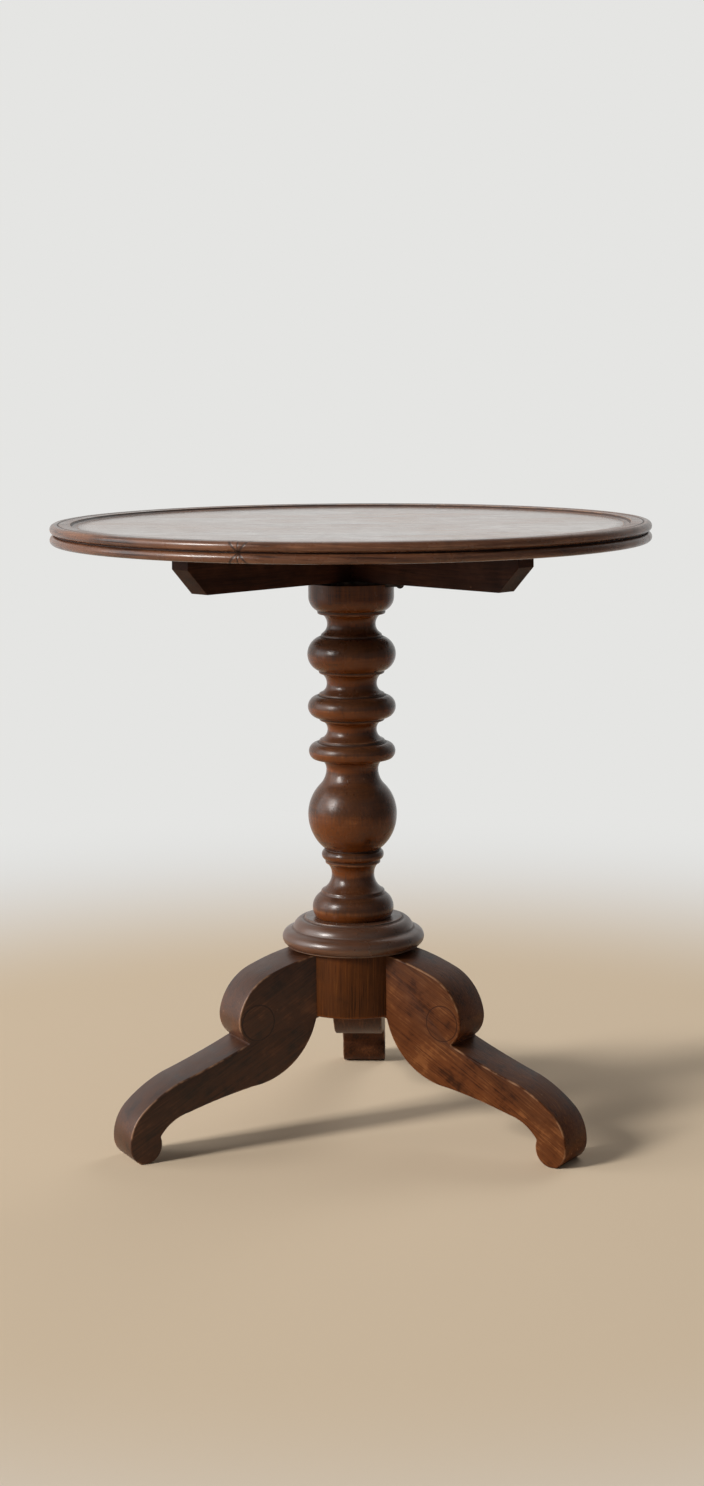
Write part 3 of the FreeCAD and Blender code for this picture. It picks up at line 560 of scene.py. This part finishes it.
# Direction of each leg round the column, its colours and its shine; the left and rear legs take a darker
# copy of the sawn colours that paints the shade they stand in
LEGS = {"leg_rear": (90, SAWN_IN_PAINTED_SHADE, 0.12), "leg_left": (210, SAWN_IN_PAINTED_SHADE, 0.40), "leg_right": (330, SAWN, 0.10)}
FOOT_SHARE = 53.5 / 61
LEG_ROOT = 0.004
LEG_STEP = 0.0016
LEG_EDGE = 0.0019
LEG_EDGE_STEPS = 5
LEG_SHARP_ANGLE = 35
LEG_SLOPE = 30
LEG_MOVE = (0.7, 0.3, 0)
SCROLL_EYE = (0.141, 0, 0.146)
SCROLL_RADIUS = 0.0205
SCROLL_LINE = 0.0014
# Share of an outline's masks that a sawn leg has (wear, dirt with painted shade, and tilt), and how worn
# its rounded edges are
LEG_MASK_SHARES = {"crown": 0.1, "cove": 0.3, "dirt_and_shade": 0.3, "tilt": 0.06}
LEG_EDGE_WEAR = 0.45


def sawn_leg(name, outline, direction, look, replaced):
    """Board sawn to an outline of (out, up) points and laid along a direction. Its half thickness goes
    evenly from that at the hub to that at the foot, and quarter circles round off its edges."""
    steps = np.linspace(0, math.pi / 2, LEG_EDGE_STEPS)
    inset = LEG_EDGE * (1 - np.sin(steps))
    back = LEG_EDGE * (1 - np.cos(steps))
    inset, back = np.concatenate([inset, inset[::-1]]), np.concatenate([back, back[::-1]])
    side = np.repeat([-1.0, 1.0], LEG_EDGE_STEPS)[:, None]
    ring = outline[None, :, :] - right_of(outline, True)[None, :, :] * inset[:, None, None]
    out, up = ring[..., 0], ring[..., 1]
    share = np.clip((out - LEG_START) / (LEG_END - LEG_START), 0, 1)
    across = side * (LEG_HALF * (1 + (FOOT_SHARE - 1) * share) - back[:, None])
    cosine, sine = math.cos(math.radians(direction)), math.sin(math.radians(direction))
    verts = np.stack([out * cosine - across * sine, out * sine + across * cosine, up], -1).reshape(-1, 3)
    rings, count = out.shape
    faces = grid_faces(rings, count, True)
    faces += [list(range(count))[::-1], list(range((rings - 1) * count, rings * count))]
    masks = {mask: LEG_MASK_SHARES[mask] * np.tile(values, rings)
             for mask, values in wear_and_shade_masks(outline, True).items()}
    masks["crown"] += LEG_EDGE_WEAR * np.repeat((inset > 0) & (back > 0), count)
    made = mesh(name, verts, faces, look, "pedestal", "base_wood", replaced, **masks)
    made.data.set_sharp_from_angle(angle=math.radians(LEG_SHARP_ANGLE))


def scroll_lines(direction):
    """Ring scribed round the eye of the scroll, in the leg's own out and up directions."""
    def lines(tree, place):
        ring = tree.node("ShaderNodeGroup", {
            "Vector": tree.placed(place, (0, 0, -direction)), "Centre": SCROLL_EYE,
            "Radius": SCROLL_RADIUS, "Width": SCROLL_LINE}, node_tree=RING_LINE)
        return ring.outputs["Mask"]
    return lines


leg_run = (LEG_END - LEG_START) / max(out for out, up, bulge in LEG_SHARES)
leg_stations = [(LEG_START + leg_run * out, HUB_HIGH * up, bulge) for out, up, bulge in LEG_SHARES]
inside = LEG_START - LEG_ROOT
leg_stations = [(inside, leg_stations[0][1], 0)] + leg_stations + [(inside, leg_stations[-1][1], 0)]
leg_outline = softened(outline_of(leg_stations, LEG_STEP, closed=True), closed=True)
for number, (leg, (direction, colours, shine)) in enumerate(LEGS.items()):
    leg_wood = wood(f"{leg}_wood", colours, turned_by((0, 0, -direction), (0, -LEG_SLOPE, 0)),
                    lines=scroll_lines(direction), move=[number * one for one in LEG_MOVE], shine=shine,
                    Roughness=0.40, Figure=0.35, Mottle=1.4)
    sawn_leg(f"dressed_{leg}", leg_outline, direction, leg_wood, [leg])


# Rim

# Direction of the joint where the first length starts, and how many lengths there are
RIM_JOINT = 253
RIM_SEGMENTS = 4
RIM_SIDES = 110
RIM_STEP = 0.0006
RIM_MOVE = 3.0
SEAM = 0.00012
# Grooves in the top of the rim, as shares of its width: their middles and their half widths
RIM_GROOVE_SHARES = ((0.706, 0.034), (0.24, 0.035))
# Two crossed cracks at the joint: how far they go across for each step up or down, how far off them it
# starts to darken and is dark, and how far up and down they start to fade and are gone
CRACK_SLOPE = 0.9
CRACK_EDGE, CRACK_DARK = 0.0026, 0.0005
CRACK_FADE, CRACK_END = 0.010, 0.016
JOINT_WIDTH = 0.0014


def from_the_joint(tree, place):
    """X, Y and Z turned so that X points away from the joint where the first length of rim starts, and
    the angle round from X in radians."""
    turned = tree.node("ShaderNodeSeparateXYZ", {0: tree.placed(place, (0, 0, 180 - RIM_JOINT))}).outputs
    return turned, tree.number("ARCTAN2", turned["Y"], turned["X"])


def rim_grain(tree, place):
    """Vector (distance along the rim, radius, height), moved on from one length of rim to the next."""
    turned, angle = from_the_joint(tree, place)
    length = tree.number("FLOOR", tree.times(angle, RIM_SEGMENTS / math.tau))
    along = tree.sum((angle, RIM_RADIUS), (length, RIM_MOVE))
    radius = tree.vector("LENGTH", tree.vector("MULTIPLY", place, (1, 1, 0)))
    return tree.node("ShaderNodeCombineXYZ", {"X": along, "Y": radius, "Z": turned["Z"]}).outputs[0]


def rim_lines(tree, place):
    """Crossed cracks at the joint where the first length of rim starts, and the joint itself."""
    turned, angle = from_the_joint(tree, place)
    across = tree.sum((tree.number("ABSOLUTE", angle), -RIM_RADIUS), (math.pi * RIM_RADIUS, 1.0))
    up = tree.number("ABSOLUTE", tree.less(turned["Z"], RIM_MIDDLE))
    off = tree.number("ABSOLUTE", tree.sum((up, -CRACK_SLOPE), (across, 1.0)))
    crossed = tree.times(tree.band(off, CRACK_EDGE, CRACK_DARK), tree.band(up, CRACK_END, CRACK_FADE))
    return tree.larger(crossed, tree.band(across, JOINT_WIDTH, 0.0))


rim_width, rim_thickness = RIM_RADIUS - FIELD_RADIUS, RIM_HIGH - RIM_LOW
rim_stations = [(FIELD_RADIUS + rim_width * across, RIM_LOW + rim_thickness * up, bulge)
                for across, up, bulge in RIM_SHARES]
rim_profile = softened(outline_of(rim_stations, RIM_STEP, closed=True), closed=True)
rim_masks = wear_and_shade_masks(rim_profile, closed=True)
rim_masks["tilt"] = np.zeros(len(rim_profile))
across = (rim_profile[:, 0] - FIELD_RADIUS) / rim_width
# The grooves in the rim's top are dark all across: dirt and painted shade
grooved = np.any([np.abs(across - middle) < half for middle, half in RIM_GROOVE_SHARES], axis=0)
rim_masks["dirt_and_shade"] = np.where(grooved & (rim_profile[:, 1] > RIM_MIDDLE), 1, rim_masks["dirt_and_shade"])
rim_profile = np.concatenate([rim_profile, rim_profile[:1]])
rim_masks = {mask: np.concatenate([values, values[:1]]) for mask, values in rim_masks.items()}
gap = math.degrees(SEAM / RIM_RADIUS)
rim_wood = wood("rim_wood", RIM, rim_grain, lines=rim_lines, shine=0.42, Roughness=0.26, Mottle=0.1,
                Nicks=0.6)
for number in range(RIM_SEGMENTS):
    first = RIM_JOINT + 360 / RIM_SEGMENTS * number
    last = first + 360 / RIM_SEGMENTS
    lathe(f"dressed_rim_{number + 1}", rim_profile, rim_masks, rim_wood, "top", "rim_wood",
          [f"rim_segment_{number + 1}"], RIM_SIDES, first + gap, last - gap)


# Boards and bearers

BOARDS = 4
BOARD_MOVE = (0.61, 0.13, 0)
# How far in from a board's edge its dark joint line starts and is full, and how far in from the rim the
# field's painted shade starts, and how dark it gets there
LINE_START, LINE_FULL = 0.0012, 0.0003
SHADE_REACH = 0.012
SHADE = 0.7
BEARER_DIRECTIONS = {"bearer_under": 48.5, "bearer_over": 138.5}
BEARER_EDGE = 0.0012
BEARER_EDGE_STEPS = 3
BEARER_EDGE_ANGLE = 30


def board_lines(low, high):
    """Dirt in the glued joints at a board's two long edges, and painted shade where the field meets the
    rim.
    """
    def lines(tree, place):
        across = tree.node("ShaderNodeSeparateXYZ", {0: place}).outputs["Y"]
        edge = tree.number("MINIMUM", tree.less(high, across), tree.less(across, low))
        radius = tree.vector("LENGTH", tree.vector("MULTIPLY", place, (1, 1, 0)))
        # Painted shade on the field beside the rim
        shade = tree.times(tree.band(radius, FIELD_RADIUS - SHADE_REACH, FIELD_RADIUS), SHADE)
        return tree.larger(tree.band(edge, LINE_START, LINE_FULL), shade)
    return lines


for number in range(1, BOARDS + 1):
    near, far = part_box(f"top_board_{number}")
    board_wood = wood(f"board_wood_{number}", FIELD, turned_by(), lines=board_lines(near.y, far.y),
                      masked=False, move=[number * one for one in BOARD_MOVE], shine=0.45, coat=0.55,
                      Roughness=0.24, Nicks=0.2, Pores=0.6, Mottle=0.1, Figure=0.75)
    paint(nodes[f"top_board_{number}"], board_wood)

for name, direction in BEARER_DIRECTIONS.items():
    bearer = nodes[name]
    paint(bearer, wood(f"{name}_wood", STAINED, turned_by((0, 0, -direction)), masked=False, shine=0.1,
                       Roughness=0.5))
    bearer.modifiers.new("weld", "WELD")
    bevel = bearer.modifiers.new("bevel", "BEVEL")
    bevel.width = BEARER_EDGE
    bevel.segments = BEARER_EDGE_STEPS
    bevel.angle_limit = math.radians(BEARER_EDGE_ANGLE)
    bevel.harden_normals = True


# Metalwork

iron = metal("old_iron", bright=rgb(84, 75, 69), tarnish=rgb(40, 32, 27), roughness=0.42)
brass = metal("old_brass", bright=rgb(196, 156, 92), tarnish=rgb(104, 76, 44), roughness=0.30)
for name in ("head_leaf", "top_leaf", "hinge_pin", "keeper", "bolt_plate"):
    paint(nodes[name], iron)
for name in ("head_leaf_screws", "top_leaf_screws", "keeper_screws", "bolt_plate_screws", "bearer_screws",
             "bolt_rod", "bolt_knob"):
    paint(nodes[name], brass)


# Stage: a wide round floor that fades into the pale room

ROOM_COLOUR = rgb(229, 229, 227)
FLOOR_COLOUR = rgb(219, 199, 172)
UNLIT = rgb(0, 0, 0)
FLOOR_REACH = 30.0
FLOOR_SIDES = 96
FADE_START, FADE_END = 0.75, 2.1
# The side of the room that is pale in a mirror, how far on it goes over into the other, and how dim that is
PALE_SIDE = (-0.6, 0.8, 0)
PALE_BLEND = 0.45
DIM = 0.2
SOFT_COLOUR = (0.95, 0.97, 1.0, 1)
SOFT_STRENGTH = 0.12


def mirrored_room_group():
    """How bright the room is in a mirror: 1 at the window and the back wall, dim on the other side."""
    made, tree, given = group("mirrored_room", {"Way": None}, {"Strength": "Float"})
    ahead = tree.vector("NORMALIZE", tree.vector("MULTIPLY", given["Way"], (1, 1, 0)))
    side = tree.vector("DOT_PRODUCT", ahead, PALE_SIDE)
    tree.node("NodeGroupOutput", {"Strength": tree.band(side, -PALE_BLEND, PALE_BLEND, least=DIM)})
    return made


MIRRORED_ROOM = mirrored_room_group()


def room_colour(tree, way):
    """The room's full colour for the camera, and as bright as in a mirror for other rays."""
    mirrored = tree.node("ShaderNodeGroup", {"Way": way}, node_tree=MIRRORED_ROOM)
    straight = tree.node("ShaderNodeLightPath").outputs["Is Camera Ray"]
    return tree.mix(tree.larger(straight, mirrored.outputs["Strength"]), UNLIT, ROOM_COLOUR)


def seen_ray(tree):
    """1 for rays from the camera, mirrors and glass, and 0 for the light that surfaces scatter."""
    path = tree.node("ShaderNodeLightPath").outputs
    direct = tree.larger(path["Is Camera Ray"], path["Is Glossy Ray"])
    return tree.larger(direct, path["Is Transmission Ray"])


floor_paint, tree = material("floor_paint")
place = tree.node("ShaderNodeTexCoord").outputs["Object"]
fade = tree.band(tree.vector("LENGTH", place), FADE_START, FADE_END)
matt = tree.node("ShaderNodeBsdfDiffuse", {"Color": tree.mix(fade, FLOOR_COLOUR, ROOM_COLOUR)})
glow = tree.node("ShaderNodeEmission", {"Color": room_colour(tree, place), "Strength": 1.0})
both = tree.node("ShaderNodeMixShader", {0: tree.times(fade, seen_ray(tree)), 1: matt.outputs[0],
                                         2: glow.outputs[0]})
tree.node("ShaderNodeOutputMaterial", {"Surface": both.outputs[0]})

turn = np.linspace(0, 2 * math.pi, FLOOR_SIDES, endpoint=False)
floor_verts = np.stack([FLOOR_REACH * np.cos(turn), FLOOR_REACH * np.sin(turn), 0 * turn], -1)
floor_data = bpy.data.meshes.new("floor")
floor_data.from_pydata(floor_verts.tolist(), [], [list(range(FLOOR_SIDES))])
floor = bpy.data.objects.new("floor", floor_data)
bpy.context.scene.collection.objects.link(floor)
paint(floor, floor_paint)

world = bpy.data.worlds.new("room")
bpy.context.scene.world = world
world.use_nodes = True
tree = Tree(world.node_tree)
soft = tree.node("ShaderNodeBackground", {"Color": SOFT_COLOUR, "Strength": SOFT_STRENGTH})
way = tree.node("ShaderNodeTexCoord").outputs["Generated"]
shown = tree.node("ShaderNodeBackground", {"Color": room_colour(tree, way), "Strength": 1.0})
both = tree.node("ShaderNodeMixShader", {0: seen_ray(tree), 1: soft.outputs[0], 2: shown.outputs[0]})
tree.node("ShaderNodeOutputWorld", {"Surface": both.outputs[0]})


# Lamps

WARM_WHITE, SKY_WHITE, COOL_WHITE = (1.0, 0.98, 0.95), (0.97, 0.98, 1.0), (0.95, 0.97, 1.0)
COLUMN_AIM, UPPER_AIM = (0, 0, 0.45), (0, 0, 0.5)


def lamp(name, place, aim, wide, high, watts, colour, mirrored=True):
    """Soft flat lamp at a place, turned so that it shines at the aim. The camera doesn't see it, and
    polished wood mirrors it or not."""
    light = bpy.data.lights.new(name, "AREA")
    light.shape, light.size, light.size_y = "RECTANGLE", wide, high
    light.energy, light.color = watts, colour
    made = bpy.data.objects.new(name, light)
    made.visible_camera = False
    made.visible_glossy = mirrored
    made.location = place
    way = np.array(aim) - np.array(place)
    tip = math.atan2(math.hypot(way[0], way[1]), -way[2])
    made.rotation_euler = (tip, 0, math.atan2(way[1], way[0]) - math.pi / 2)
    bpy.context.scene.collection.objects.link(made)


lamp("window", (-8.24, -5.14, 5.21), COLUMN_AIM, wide=2.0, high=3.4, watts=1180, colour=WARM_WHITE)
for name, watts, mirrored in (("far_window", 320, True), ("far_window_glow", 280, False)):
    lamp(name, (-9.4, -0.36, 3.7), COLUMN_AIM, wide=6.0, high=7.0, watts=watts, colour=SKY_WHITE,
         mirrored=mirrored)
lamp("room_fill", (2.4, -2.6, 1.9), UPPER_AIM, wide=2.4, high=2.4, watts=1.5, colour=COOL_WHITE)
lamp("back_fill", (1.6, 2.8, 2.5), UPPER_AIM, wide=2.0, high=2.0, watts=36, colour=SKY_WHITE,
     mirrored=False)


# Camera, level with a shifted lens and a slight roll, fitted to the photograph of 704 by 1486 pixels

PHOTO_LONG = 1486
FOCAL_PIXELS = 2575.5
HORIZON = 353.24
AXIS_SHIFT = 0.0016
EYE_HEIGHT = 0.93245
EYE_DISTANCE = 3.1183
VIEW_TURN = 2.8
VIEW_ROLL = 0.37
SENSOR_MILLIMETRES = 36

camera_data = bpy.data.cameras.new("camera")
camera_data.sensor_width = SENSOR_MILLIMETRES
camera_data.lens = FOCAL_PIXELS / PHOTO_LONG * SENSOR_MILLIMETRES
camera_data.shift_x = AXIS_SHIFT
camera_data.shift_y = (HORIZON - PHOTO_LONG / 2) / PHOTO_LONG
camera = bpy.data.objects.new("camera", camera_data)
turned = math.radians(VIEW_TURN)
camera.location = (EYE_DISTANCE * math.sin(turned), -EYE_DISTANCE * math.cos(turned), EYE_HEIGHT)
camera.rotation_euler = (math.pi / 2, math.radians(VIEW_ROLL), turned)
bpy.context.scene.collection.objects.link(camera)
bpy.context.scene.camera = camera
bpy.context.scene.view_settings.view_transform = "Standard"
